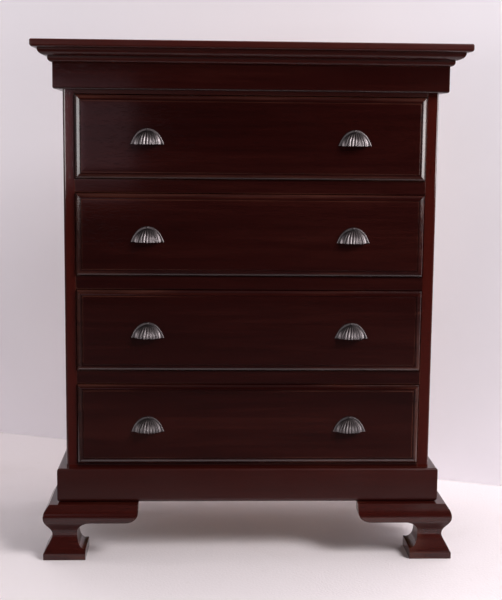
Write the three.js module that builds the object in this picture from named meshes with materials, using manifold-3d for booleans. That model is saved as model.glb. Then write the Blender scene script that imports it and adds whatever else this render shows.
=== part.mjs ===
// A chest of four drawers on ogee feet, in millimetres, +Z up.
// The front faces -Y and the origin lies on the floor, under the middle of the whole chest.
import * as THREE from 'three';
import { mergeVertices } from 'three/addons/utils/BufferGeometryUtils.js';
import Module from 'manifold-3d';

const wasm = await Module();
wasm.setup();

// Carcass
const carcassWidth = 872;
const carcassDepth = 440;
const sideThickness = 20;
const frameThickness = 22;
const stileWidth = 26.5;
const stileRounding = 4;
const railHeight = 31.5;
const railDepth = 60;
const topRailReveal = 9.5;
const bottomRailReveal = 8;
const backThickness = 8;
const backRabbet = 10;
const runnerWidth = 30;
const guideHeight = 12;

// Drawers
const drawerCount = 4;
const openingHeight = 195;
const frontGap = 1.5;
const frontSeat = 20;
const edgeProud = 2;
const fieldProud = 9.5;
const ovoloWidth = 10;
const ovoloRise = 6.8;
const filletWidth = 4;
const fieldBevel = 0.7;
const boxThickness = 12;
const boxDepth = 372;
const boxHeadroom = 15;
const boxBackDrop = 15;
const boxSideGap = 2;
const bottomThickness = 6;
const bottomLift = 10;
const grooveDepth = 5;

// Cup pulls
const pullWidth = 76;
const pullHeight = 37;
const pullDepth = 21;
const pullSpacing = 482;
const pullLift = 2;
const pullRimWidth = 8;
const pullRimTop = 5;
const pullRimThickness = 2.6;
const pullWall = 1.8;
const pullFluteCount = 11;
const pullFluteDepthShare = 0.1;
const pullBeadRadius = 2.5;

// Frieze, cornice and top board
const friezeHeight = 60;
const friezeProjection = 20;
const friezeRounding = 5;
const corniceHeight = 31;
const corniceProjection = 50.5;
const ovoloFillet = 3;
const beadProjection = 30;
const beadHeight = 9;
const beadFillet = 4.5;
const topThickness = 18;
const topOverhang = 65;
const topRounding = 4;
const topUnderRounding = 6.5;

// Plinth
const footHeight = 132;
const plinthHeight = 82.5;
const plinthProjection = 20.5;
const plinthSeat = 30;
const plinthLip = 13;
const plinthTopRounding = 6;
const plinthBottomRounding = 9;
const plinthBackThickness = 22;

// Feet: sizes across are measured outwards from the faces of the carcass, and the crest, the
// waist and the wings hang below the top of the foot
const footShoulder = 38.5;
const crestProjection = 52;
const crestBelowTop = 31;
const waistProjection = 31.5;
const waistBelowTop = 76;
const padHeight = 17;
const padSize = 100;
const padRounding = 2;
const waistInset = 21;
const heelHeight = 24;
const frontWingReach = 173;
const sideWingReach = 122;
const wingHeight = 43.5;
const wingEndLength = 32;
const wingEndHeight = 26;
const archLength = 30;
const archHeight = 26;

// Clearances
const mitreGap = 0.3;
const slideGap = 0.3;
const seatGap = 0.3;
const guideGap = 0.5;
const cutOverrun = 5;

// Worked out from the sizes above
const overallDepth = carcassDepth + topOverhang;
const faceY = -overallDepth / 2 + topOverhang;
const backY = overallDepth / 2;
const halfWidth = carcassWidth / 2;
const crestHeight = footHeight - crestBelowTop;
const waistHeight = footHeight - waistBelowTop;
const wingBottom = footHeight - wingHeight;
const plinthTop = footHeight + plinthHeight;
const carcassBottom = plinthTop - plinthLip;
const floorLevel = plinthTop + bottomRailReveal;
const drawerPitch = openingHeight + railHeight;
const openingsTop = floorLevel + drawerCount * drawerPitch - railHeight;
const friezeBottom = openingsTop + topRailReveal;
const friezeTop = friezeBottom + friezeHeight;
const carcassTop = friezeTop + corniceHeight;
const overallHeight = carcassTop + topThickness;
const openingHalf = halfWidth - stileWidth;
const boxSideHeight = openingHeight - boxHeadroom;
const boxBackHeight = boxSideHeight - boxBackDrop;
const innerHalf = halfWidth - sideThickness;
const panelFrontY = faceY + frameThickness;
const backInnerY = backY - backThickness;
const runnerFrontY = faceY + railDepth;

// Finishes
const mahogany = () => new THREE.MeshStandardMaterial({ color: 0x3a120d, roughness: 0.22, metalness: 0 });
const paleWood = () => new THREE.MeshStandardMaterial({ color: 0x9c7148, roughness: 0.7, metalness: 0 });
const pewter = () => new THREE.MeshStandardMaterial({ color: 0x8d8885, roughness: 0.35, metalness: 1 });

// The two axes that a section is drawn in, and the axis that it runs along
const axisFrames = {
  x: [new THREE.Vector3(0, 1, 0), new THREE.Vector3(0, 0, 1), new THREE.Vector3(1, 0, 0)],
  y: [new THREE.Vector3(1, 0, 0), new THREE.Vector3(0, 0, 1), new THREE.Vector3(0, -1, 0)],
  z: [new THREE.Vector3(1, 0, 0), new THREE.Vector3(0, 1, 0), new THREE.Vector3(0, 0, 1)],
};

const curveSteps = 8;

// A section drawn in true places, run along an axis from one coordinate to another
function prism(section, axis, from, to) {
  const settings = { depth: to - from, bevelEnabled: false, curveSegments: curveSteps };
  const geometry = new THREE.ExtrudeGeometry(section, settings);
  geometry.applyMatrix4(new THREE.Matrix4().makeBasis(...axisFrames[axis]));
  const start = axisFrames[axis][2].clone().multiplyScalar(axis === 'y' ? -to : from);
  geometry.translate(start.x, start.y, start.z);
  return geometry;
}

function box(x0, x1, y0, y1, z0, z1) {
  const geometry = new THREE.BoxGeometry(x1 - x0, y1 - y0, z1 - z0);
  return geometry.translate((x0 + x1) / 2, (y0 + y1) / 2, (z0 + z1) / 2);
}

function polygon(points) {
  return new THREE.Shape(points.map(([u, v]) => new THREE.Vector2(u, v)));
}

function toSolid(geometry) {
  const bare = geometry.clone();
  bare.deleteAttribute('normal');
  bare.deleteAttribute('uv');
  const merged = mergeVertices(bare);
  const mesh = new wasm.Mesh({
    numProp: 3,
    vertProperties: new Float32Array(merged.attributes.position.array),
    triVerts: new Uint32Array(merged.index.array),
  });
  return new wasm.Manifold(mesh);
}

function fromSolid(solid) {
  const mesh = solid.getMesh();
  const geometry = new THREE.BufferGeometry();
  geometry.setAttribute('position', new THREE.BufferAttribute(mesh.vertProperties, 3));
  geometry.setIndex(new THREE.BufferAttribute(mesh.triVerts, 1));
  geometry.computeVertexNormals();
  return geometry;
}

const chest = new THREE.Group();

function addPiece(parent, name, geometry, material) {
  const mesh = new THREE.Mesh(geometry, material);
  mesh.name = name;
  parent.add(mesh);
  return mesh;
}

// A moulding round the carcass: its section is drawn as projection and height, and each end
// that meets a neighbour is mitred by moving every corner along the run by its own projection
function moulding(section, place) {
  const settings = { depth: 1, bevelEnabled: false, curveSegments: curveSteps };
  const geometry = new THREE.ExtrudeGeometry(section, settings);
  const corners = geometry.attributes.position;
  for (let i = 0; i < corners.count; i += 1) {
    const projection = corners.getX(i);
    const height = corners.getY(i);
    const atEnd = corners.getZ(i) > 0;
    const mitreY = faceY - projection + mitreGap;
    const mitreX = halfWidth + projection - mitreGap;
    if (place === 'front') {
      corners.setXYZ(i, atEnd ? -mitreX : mitreX, faceY - projection, height);
    } else if (place === 'left') {
      corners.setXYZ(i, -halfWidth - projection, atEnd ? backY : mitreY, height);
    } else {
      corners.setXYZ(i, halfWidth + projection, atEnd ? mitreY : backY, height);
    }
  }
  geometry.computeVertexNormals();
  return geometry;
}

// A plain frieze board with its lower outer edge rounded
function friezeSection() {
  const shape = new THREE.Shape();
  shape.moveTo(0, friezeBottom);
  shape.lineTo(friezeProjection - friezeRounding, friezeBottom);
  shape.absarc(
    friezeProjection - friezeRounding, friezeBottom + friezeRounding, friezeRounding,
    -Math.PI / 2, 0, false,
  );
  shape.lineTo(friezeProjection, friezeTop);
  shape.lineTo(0, friezeTop);
  shape.closePath();
  return shape;
}

// From the bottom: a small quarter round, a fillet, a large ovolo and a last fillet under the top
function corniceSection() {
  const ovoloTop = carcassTop - ovoloFillet;
  const beadTop = friezeTop + beadHeight;
  const ovoloBottom = beadTop + beadFillet;
  const shape = new THREE.Shape();
  shape.moveTo(0, friezeTop);
  shape.lineTo(friezeProjection, friezeTop);
  shape.absellipse(
    friezeProjection, beadTop, beadProjection - friezeProjection, beadHeight,
    -Math.PI / 2, 0, false, 0,
  );
  shape.lineTo(beadProjection, ovoloBottom);
  shape.absellipse(
    beadProjection, ovoloTop, corniceProjection - beadProjection, ovoloTop - ovoloBottom,
    -Math.PI / 2, 0, false, 0,
  );
  shape.lineTo(corniceProjection, carcassTop);
  shape.lineTo(0, carcassTop);
  shape.closePath();
  return shape;
}

// The plinth board holds the carcass in a rabbet behind its upper lip
function plinthSection() {
  const lipCentre = plinthTop - plinthTopRounding;
  const footCentre = footHeight + plinthBottomRounding;
  const shape = new THREE.Shape();
  shape.moveTo(-plinthSeat, footHeight);
  shape.lineTo(plinthProjection - plinthBottomRounding, footHeight);
  shape.absarc(
    plinthProjection - plinthBottomRounding, footCentre, plinthBottomRounding,
    -Math.PI / 2, 0, false,
  );
  shape.absarc(
    plinthProjection - plinthTopRounding, lipCentre, plinthTopRounding,
    0, Math.PI / 2, false,
  );
  shape.lineTo(seatGap, plinthTop);
  shape.lineTo(seatGap, carcassBottom);
  shape.lineTo(-plinthSeat, carcassBottom);
  shape.closePath();
  return shape;
}

function addMouldings() {
  for (const place of ['front', 'left', 'right']) {
    addPiece(chest, `cornice_${place}`, moulding(corniceSection(), place), mahogany());
    addPiece(chest, `frieze_${place}`, moulding(friezeSection(), place), mahogany());
    addPiece(chest, `plinth_${place}`, moulding(plinthSection(), place), mahogany());
  }
  const half = halfWidth - plinthSeat;
  const back = box(-half, half, backY - plinthBackThickness, backY, footHeight, carcassBottom);
  addPiece(chest, 'plinth_back', back, paleWood());
}

// A board seen on end, rounded at its first edge and, where asked, at its second
function boardSection(from, to, secondIsRound) {
  const low = carcassTop + topUnderRounding;
  const high = overallHeight - topRounding;
  const shape = new THREE.Shape();
  shape.moveTo(from + topUnderRounding, carcassTop);
  if (secondIsRound) {
    shape.absarc(to - topUnderRounding, low, topUnderRounding, -Math.PI / 2, 0, false);
    shape.absarc(to - topRounding, high, topRounding, 0, Math.PI / 2, false);
  } else {
    shape.lineTo(to, carcassTop);
    shape.lineTo(to, overallHeight);
  }
  shape.absarc(from + topRounding, high, topRounding, Math.PI / 2, Math.PI, false);
  shape.absarc(from + topUnderRounding, low, topUnderRounding, Math.PI, 1.5 * Math.PI, false);
  return shape;
}

// The top board is the common part of two sections, which mitres its rounded edges by itself
function addTopBoard() {
  const halfTop = halfWidth + topOverhang;
  const frontY = faceY - topOverhang;
  const across = toSolid(prism(boardSection(frontY, backY, false), 'x', -halfTop, halfTop));
  const along = toSolid(prism(boardSection(-halfTop, halfTop, true), 'y', frontY, backY));
  addPiece(chest, 'top_board', fromSolid(across.intersect(along)), mahogany());
}

function addCarcassFrame() {
  for (const [side, sign] of [['left', -1], ['right', 1]]) {
    const outer = sign * halfWidth;
    const stile = new THREE.Shape();
    stile.moveTo(sign * openingHalf, faceY);
    stile.lineTo(outer - sign * stileRounding, faceY);
    stile.quadraticCurveTo(outer, faceY, outer, faceY + stileRounding);
    stile.lineTo(outer, panelFrontY);
    stile.lineTo(sign * openingHalf, panelFrontY);
    stile.closePath();
    addPiece(chest, `stile_${side}`, prism(stile, 'z', carcassBottom, carcassTop), mahogany());

    const rabbetX = sign * (innerHalf + backRabbet);
    const panel = polygon([
      [outer, panelFrontY],
      [sign * innerHalf, panelFrontY],
      [sign * innerHalf, backInnerY],
      [rabbetX, backInnerY],
      [rabbetX, backY],
      [outer, backY],
    ]);
    addPiece(chest, `side_panel_${side}`, prism(panel, 'z', carcassBottom, carcassTop), mahogany());
  }

  const railBack = faceY + railDepth;
  const topRail = box(-openingHalf, openingHalf, faceY, panelFrontY, openingsTop, carcassTop);
  addPiece(chest, 'top_rail', topRail, mahogany());
  const bottomRail = box(-openingHalf, openingHalf, faceY, railBack, carcassBottom, floorLevel);
  addPiece(chest, 'bottom_rail', bottomRail, mahogany());
  const bottom = box(-innerHalf, innerHalf, railBack, backInnerY, carcassBottom, floorLevel);
  addPiece(chest, 'bottom_board', bottom, paleWood());

  const backHalf = innerHalf + backRabbet - seatGap;
  const back = box(-backHalf, backHalf, backInnerY, backY, carcassBottom, carcassTop);
  addPiece(chest, 'back_panel', back, paleWood());
}

// Drawers are counted from the top
function openingBottom(number) {
  return floorLevel + (drawerCount - number) * drawerPitch;
}

// Under each upper drawer a rail in front and, behind it, a runner with a guide on either side
function addRailsAndRunners() {
  const boxOuter = openingHalf - boxSideGap;
  for (let number = 1; number < drawerCount; number += 1) {
    const top = openingBottom(number);
    const bottom = top - railHeight;
    const rail = box(-openingHalf, openingHalf, faceY, runnerFrontY, bottom, top);
    addPiece(chest, `drawer_rail_${number}`, rail, mahogany());
    for (const [side, sign] of [['left', -1], ['right', 1]]) {
      const section = polygon([
        [sign * innerHalf, bottom],
        [sign * (innerHalf - runnerWidth), bottom],
        [sign * (innerHalf - runnerWidth), top],
        [sign * (boxOuter + guideGap), top],
        [sign * (boxOuter + guideGap), top + guideHeight],
        [sign * innerHalf, top + guideHeight],
      ]);
      const runner = prism(section, 'y', runnerFrontY, backInnerY);
      addPiece(chest, `runner_${number}_${side}`, runner, paleWood());
    }
  }
}

// Half of the section of a drawer front, from its back out to the field: the edge, an ovolo,
// a fillet and a short bevel up to the field
function frontEdge(shape, edge, sign) {
  const ovoloEnd = edge - sign * ovoloWidth;
  const filletEnd = ovoloEnd - sign * filletWidth;
  const filletY = faceY - edgeProud - ovoloRise;
  shape.lineTo(edge, faceY - edgeProud);
  shape.quadraticCurveTo(edge - sign * ovoloWidth / 3, filletY, ovoloEnd, filletY);
  shape.lineTo(filletEnd, filletY);
  shape.lineTo(filletEnd - sign * fieldBevel, faceY - fieldProud);
}

function drawerFrontSolid(bottom) {
  const low = bottom + frontGap;
  const high = bottom + openingHeight - frontGap;
  const half = openingHalf - frontGap;
  const backOfFront = faceY + frontSeat;

  const section = (from, to, flip) => {
    const shape = new THREE.Shape();
    shape.moveTo(from, backOfFront);
    frontEdge(shape, from, -1);
    const upper = new THREE.Shape();
    upper.moveTo(to, backOfFront);
    frontEdge(upper, to, 1);
    const points = [...shape.getPoints(curveSteps), ...upper.getPoints(curveSteps).reverse()];
    return polygon(points.map((point) => (flip ? [point.y, point.x] : [point.x, point.y])));
  };
  const upright = toSolid(prism(section(low, high, true), 'x', -half, half));
  const plan = toSolid(prism(section(-half, half, false), 'z', low, high));
  return upright.intersect(plan);
}

function addDrawer(number) {
  const bottom = openingBottom(number);
  const boxBottom = bottom + slideGap;
  const outer = openingHalf - boxSideGap;
  const inner = outer - boxThickness;
  const frontY = faceY + frontSeat;
  const endY = frontY + boxDepth;
  const bottomLow = boxBottom + bottomLift;
  const bottomHigh = bottomLow + bottomThickness;
  const grooveLow = bottomLow - seatGap;
  const grooveHigh = bottomHigh + seatGap;
  const drawer = new THREE.Group();

  const groove = box(
    -inner - grooveDepth, inner + grooveDepth,
    frontY - grooveDepth, frontY + cutOverrun,
    grooveLow, grooveHigh,
  );
  const front = drawerFrontSolid(bottom).subtract(toSolid(groove));
  addPiece(drawer, `drawer_${number}_front`, fromSolid(front), mahogany());

  for (const [side, sign] of [['left', -1], ['right', 1]]) {
    const section = polygon([
      [sign * outer, boxBottom],
      [sign * inner, boxBottom],
      [sign * inner, grooveLow],
      [sign * (inner + grooveDepth), grooveLow],
      [sign * (inner + grooveDepth), grooveHigh],
      [sign * inner, grooveHigh],
      [sign * inner, boxBottom + boxSideHeight],
      [sign * outer, boxBottom + boxSideHeight],
    ]);
    addPiece(drawer, `drawer_${number}_${side}`, prism(section, 'y', frontY, endY), paleWood());
  }

  const back = box(-inner, inner, endY - boxThickness, endY, bottomHigh, boxBottom + boxBackHeight);
  addPiece(drawer, `drawer_${number}_back`, back, paleWood());
  const bottomHalf = inner + grooveDepth - seatGap;
  const bottomFront = frontY - grooveDepth + seatGap;
  const floor = box(-bottomHalf, bottomHalf, bottomFront, endY, bottomLow, bottomHigh);
  addPiece(drawer, `drawer_${number}_bottom`, floor, paleWood());

  const pullBottom = bottom + (openingHeight - pullHeight) / 2 + pullLift;
  for (const [side, sign] of [['left', -1], ['right', 1]]) {
    const pull = addPiece(drawer, `pull_${number}_${side}`, pullGeometry, pewter());
    pull.position.set(sign * pullSpacing / 2, faceY - fieldProud, pullBottom);
  }
  chest.add(drawer);
}

// A quarter of an ellipsoid whose ribs run down from its top like those of a shell
function shellQuarter(width, depth, height, fluteShare, flutes, rings) {
  const stepsPerFlute = 4;
  const around = 2 * flutes * stepsPerFlute;
  const geometry = new THREE.SphereGeometry(1, around, 2 * rings);
  geometry.rotateX(Math.PI / 2);
  const corners = geometry.attributes.position;
  for (let i = 0; i < corners.count; i += 1) {
    const point = new THREE.Vector3().fromBufferAttribute(corners, i);
    const angle = Math.atan2(point.y, point.x);
    const fromTop = Math.hypot(point.x, point.y);
    const valley = 1 - Math.abs(Math.sin(flutes * angle));
    const across = 1 - fluteShare * valley * fromTop;
    corners.setXYZ(i, point.x * width * across, point.y * depth * across, point.z * height);
  }
  return toSolid(geometry);
}

// How far along the width and the height of a shell's arch its curve handles lie
const archShares = [0.93, 0.35, 0.62];

// An arch that flares at its feet, from one foot over the top to the other
function shellArch(shape, footX, height) {
  const [lowX, lowZ, highX] = archShares;
  shape.bezierCurveTo(footX * lowX, height * lowZ, footX * highX, height, 0, height);
  shape.bezierCurveTo(-footX * highX, height, -footX * lowX, height * lowZ, -footX, 0);
}

// A flaring rim on the drawer front, the fluted hood inside it and a bead at its top.
// Its lip lies at height zero and the drawer front at y zero.
function buildPull() {
  const outerHalf = pullWidth / 2;
  const innerHalfWidth = outerHalf - pullRimWidth;
  const innerHeight = pullHeight - pullRimTop;
  const ringSteps = 6;
  const rimSteps = 14;

  const hood = shellQuarter(
    innerHalfWidth, pullDepth, innerHeight, pullFluteDepthShare, pullFluteCount, ringSteps,
  );
  const hollowScale = 1 - pullFluteDepthShare;
  const hollow = new THREE.SphereGeometry(1, 2 * rimSteps, rimSteps);
  hollow.rotateX(Math.PI / 2);
  hollow.scale(
    innerHalfWidth * hollowScale - pullWall,
    pullDepth * hollowScale - pullWall,
    innerHeight - pullWall,
  );
  const rim = new THREE.Shape();
  rim.moveTo(outerHalf, 0);
  shellArch(rim, outerHalf, pullHeight);
  rim.lineTo(-innerHalfWidth + pullWall, 0);
  rim.absellipse(
    0, 0, innerHalfWidth - pullWall, innerHeight - pullWall, Math.PI, 0, true, 0,
  );
  rim.closePath();
  const rimSettings = { depth: pullRimThickness, bevelEnabled: false, curveSegments: rimSteps };
  const rimBand = new THREE.ExtrudeGeometry(rim, rimSettings);
  rimBand.applyMatrix4(new THREE.Matrix4().makeBasis(...axisFrames.y));

  const bead = new THREE.SphereGeometry(pullBeadRadius, 10, 6);
  bead.translate(0, -pullRimThickness, pullHeight - pullRimTop / 2);
  const inFront = box(
    -outerHalf - cutOverrun, outerHalf + cutOverrun,
    -pullDepth - cutOverrun, 0,
    0, pullHeight + cutOverrun,
  );
  const solid = hood
    .subtract(toSolid(hollow))
    .add(toSolid(rimBand))
    .add(toSolid(bead))
    .intersect(toSolid(inFront));
  return fromSolid(solid);
}

const pullGeometry = buildPull();

// The ogee, down from the shoulder over the crest and the waist to the pad.
// "out" turns a projection beyond the carcass into a coordinate.
function ogee(shape, out) {
  const shoulderDrop = footHeight - crestHeight;
  const crestDrop = crestHeight - waistHeight;
  const waistDrop = waistHeight - padHeight;
  const swell = crestProjection - footShoulder;
  const flare = crestProjection - waistProjection;
  shape.moveTo(out(footShoulder), footHeight);
  shape.bezierCurveTo(
    out(footShoulder + swell * shoulderShares[0]), footHeight - shoulderDrop * shoulderShares[1],
    out(crestProjection), crestHeight + shoulderDrop * shoulderShares[2],
    out(crestProjection), crestHeight,
  );
  shape.bezierCurveTo(
    out(crestProjection), crestHeight - crestDrop * crestShares[0],
    out(waistProjection), waistHeight + crestDrop * crestShares[1],
    out(waistProjection), waistHeight,
  );
  shape.bezierCurveTo(
    out(waistProjection), waistHeight - waistDrop * waistShares[0],
    out(crestProjection - flare * waistShares[1]), padHeight + waistDrop * waistShares[2],
    out(crestProjection - padRounding), padHeight,
  );
  shape.lineTo(out(crestProjection), padHeight - padRounding);
  shape.lineTo(out(crestProjection), 0);
}

// How far along each stretch of the ogee its curve handles reach
const shoulderShares = [0.6, 0.4, 0.48];
const crestShares = [0.38, 0.4];
const waistShares = [0.2, 0.4, 0.4];

// The inner side of the leg, up from the floor over the heel and a hollow to the waist
function innerHollow(shape, out) {
  const padInner = crestProjection - padSize;
  const waistInner = padInner + waistInset;
  const rise = waistHeight - heelHeight;
  shape.lineTo(out(padInner), 0);
  shape.lineTo(out(padInner), heelHeight);
  shape.bezierCurveTo(
    out(padInner + waistInset * roundShare), heelHeight,
    out(waistInner), waistHeight - rise * roundShare,
    out(waistInner), waistHeight,
  );
  return waistInner;
}

// The post of a foot, flared into its pad on each side that is not flat
function legSection(out, flatSide) {
  const shape = new THREE.Shape();
  if (flatSide === undefined) {
    ogee(shape, out);
  } else {
    shape.moveTo(flatSide, footHeight);
    shape.lineTo(flatSide, 0);
  }
  const waistInner = innerHollow(shape, out);
  shape.lineTo(out(waistInner), footHeight);
  shape.closePath();
  return shape;
}

// The outline of a foot seen square on: the leg, an arch and a wing that reaches inwards
function footOutline(out, reach, flatSide) {
  const shape = new THREE.Shape();
  if (flatSide === undefined) {
    ogee(shape, out);
  } else {
    shape.moveTo(flatSide, footHeight);
    shape.lineTo(flatSide, 0);
  }
  const waistInner = innerHollow(shape, out);
  const archEnd = waistInner - archLength;
  shape.lineTo(out(waistInner), wingBottom - archHeight);
  shape.bezierCurveTo(
    out(waistInner), wingBottom - archHeight * (1 - roundShare),
    out(archEnd + archLength * (1 - roundShare)), wingBottom,
    out(archEnd), wingBottom,
  );
  shape.lineTo(out(-reach + wingEndLength), wingBottom);
  shape.bezierCurveTo(
    out(-reach + wingEndLength * (1 - roundShare)), wingBottom,
    out(-reach), wingBottom + wingEndHeight * (1 - roundShare),
    out(-reach), wingBottom + wingEndHeight,
  );
  shape.lineTo(out(-reach), footHeight);
  shape.closePath();
  return shape;
}

// The handle length that makes a Bezier curve follow a quarter of an ellipse
const roundShare = 0.5523;

// The section of a wing: the ogee in front and a flat back in the plane of the carcass
function wingSection(out) {
  const shape = new THREE.Shape();
  ogee(shape, out);
  shape.lineTo(out(0), 0);
  shape.lineTo(out(0), footHeight);
  shape.closePath();
  return shape;
}

function frontFoot(sign) {
  const outX = (projection) => sign * (halfWidth + projection);
  const outY = (projection) => faceY - projection;
  const nearX = sign * (halfWidth - frontWingReach - cutOverrun);
  const farX = sign * (halfWidth + crestProjection + cutOverrun);
  const spanX = [Math.min(nearX, farX), Math.max(nearX, farX)];
  const spanY = [faceY - crestProjection - cutOverrun, faceY + sideWingReach + cutOverrun];

  const post = toSolid(prism(legSection(outX), 'y', ...spanY))
    .intersect(toSolid(prism(legSection(outY), 'x', ...spanX)));
  const frontWing = toSolid(prism(footOutline(outX, frontWingReach), 'y', ...spanY))
    .intersect(toSolid(prism(wingSection(outY), 'x', ...spanX)));
  const sideWing = toSolid(prism(footOutline(outY, sideWingReach), 'x', ...spanX))
    .intersect(toSolid(prism(wingSection(outX), 'y', ...spanY)));
  return fromSolid(post.add(frontWing).add(sideWing));
}

// A back foot stands flush with the back and has only a side wing
function backFoot(sign) {
  const outX = (projection) => sign * (halfWidth + projection);
  const outY = (projection) => backY - crestProjection + projection;
  const nearX = sign * (halfWidth - padSize);
  const farX = sign * (halfWidth + crestProjection + cutOverrun);
  const spanX = [Math.min(nearX, farX), Math.max(nearX, farX)];
  const spanY = [backY - crestProjection - sideWingReach - cutOverrun, backY + cutOverrun];

  const post = toSolid(prism(legSection(outX), 'y', ...spanY))
    .intersect(toSolid(prism(legSection(outY, backY), 'x', ...spanX)));
  const sideWing = toSolid(prism(footOutline(outY, sideWingReach, backY), 'x', ...spanX))
    .intersect(toSolid(prism(wingSection(outX), 'y', ...spanY)));
  return fromSolid(post.add(sideWing));
}

function addFeet() {
  for (const [side, sign] of [['left', -1], ['right', 1]]) {
    addPiece(chest, `foot_front_${side}`, frontFoot(sign), mahogany());
    addPiece(chest, `foot_back_${side}`, backFoot(sign), mahogany());
  }
}

addTopBoard();
addMouldings();
addCarcassFrame();
addRailsAndRunners();
addFeet();
for (let number = 1; number <= drawerCount; number += 1) {
  addDrawer(number);
}

export default chest;
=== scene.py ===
# %% [markdown]
# # A chest of four drawers in lacquered mahogany
# The solids of the chest come ready made and stay where they are. This lesson dresses them: it
# lights a small studio, mixes the finishes from nodes, and gives each visible board, moulding,
# foot and pull the softened edges and small fittings that the real ones have.

# %% Load the chest
import math

import bmesh
import bpy
from mathutils import Matrix, Vector


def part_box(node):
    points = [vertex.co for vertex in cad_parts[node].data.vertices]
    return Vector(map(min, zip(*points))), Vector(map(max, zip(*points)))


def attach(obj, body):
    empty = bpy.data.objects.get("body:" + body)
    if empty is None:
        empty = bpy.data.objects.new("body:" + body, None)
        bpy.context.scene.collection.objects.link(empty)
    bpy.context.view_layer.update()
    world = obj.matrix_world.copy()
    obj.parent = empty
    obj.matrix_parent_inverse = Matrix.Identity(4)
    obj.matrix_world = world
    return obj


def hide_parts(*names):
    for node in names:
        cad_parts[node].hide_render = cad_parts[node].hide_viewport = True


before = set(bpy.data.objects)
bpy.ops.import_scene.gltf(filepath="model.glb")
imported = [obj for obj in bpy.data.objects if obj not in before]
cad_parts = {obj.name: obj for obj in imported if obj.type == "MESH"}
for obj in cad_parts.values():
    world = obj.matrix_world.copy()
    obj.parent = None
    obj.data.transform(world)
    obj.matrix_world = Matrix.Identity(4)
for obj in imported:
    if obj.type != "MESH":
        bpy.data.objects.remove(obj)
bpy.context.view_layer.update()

# %% [markdown]
# ## The camera
# The chest is seen from about a metre above the floor, a little left of its middle, with the lens
# tipped down by nearly eight degrees. A long lens keeps the upright edges nearly parallel. The
# angles are turned into a matrix by hand, because the slight roll belongs to the picture and not
# to the chest.

# %% Camera
camera_place = Vector((-0.1109, -2.9982, 1.0059))
pitch = math.radians(7.821)
yaw = math.radians(2.313)
roll = math.radians(0.563)
picture_width = 502
focal_length_in_pixels = 1200
sensor_width = 36

forward = Vector((
    math.sin(yaw) * math.cos(pitch), math.cos(yaw) * math.cos(pitch), -math.sin(pitch),
))
level_right = Vector((math.cos(yaw), -math.sin(yaw), 0))
level_up = level_right.cross(forward)
camera_right = math.cos(roll) * level_right + math.sin(roll) * level_up
camera_up = math.cos(roll) * level_up - math.sin(roll) * level_right

camera = bpy.data.objects.new("camera", bpy.data.cameras.new("camera"))
camera.data.sensor_fit = "HORIZONTAL"
camera.data.sensor_width = sensor_width
camera.data.lens = sensor_width * focal_length_in_pixels / picture_width
turn = Matrix((camera_right, camera_up, -forward)).transposed().to_4x4()
camera.matrix_world = Matrix.Translation(camera_place) @ turn
bpy.context.scene.collection.objects.link(camera)
bpy.context.scene.camera = camera
bpy.context.scene.view_settings.view_transform = "Standard"
print("lens:", round(camera.data.lens, 2), "mm")

# %% [markdown]
# ## Signals
# A finish is a tree of nodes. Written node by node it is long and hard to read, so a signal, the
# output of a node, is wrapped in a small class that turns arithmetic into Math nodes.

# %% Signal
class Signal:
    """One output of a node. Arithmetic on signals adds Math nodes."""

    def __init__(self, bench, socket):
        self.bench = bench
        self.socket = socket

    def calculate(self, operation, *operands):
        sockets = dict(enumerate(operands))
        return self.bench.node("ShaderNodeMath", {"operation": operation}, sockets)

    def __add__(self, other):
        return self.calculate("ADD", self, other)

    __radd__ = __add__

    def __sub__(self, other):
        return self.calculate("SUBTRACT", self, other)

    def __rsub__(self, other):
        return self.calculate("SUBTRACT", other, self)

    def __mul__(self, other):
        return self.calculate("MULTIPLY", self, other)

    __rmul__ = __mul__

    def __truediv__(self, other):
        return self.calculate("DIVIDE", self, other)

    def at_least(self, other):
        return self.calculate("MAXIMUM", self, other)

    def root(self):
        return self.calculate("SQRT", self)

    def size(self):
        return self.calculate("ABSOLUTE", self)

    def part(self, name):
        """Another output of the same node."""
        return Signal(self.bench, self.socket.node.outputs[name])

print("signal ready")

# %% [markdown]
# ## A bench for mixing finishes
# The bench adds every node through one method: first the settings, then what its sockets are
# given. The patterns that several finishes share, such as noise stretched on the object's own
# metres, the bend of a surface or how far it faces up, are short methods over that one.

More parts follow.
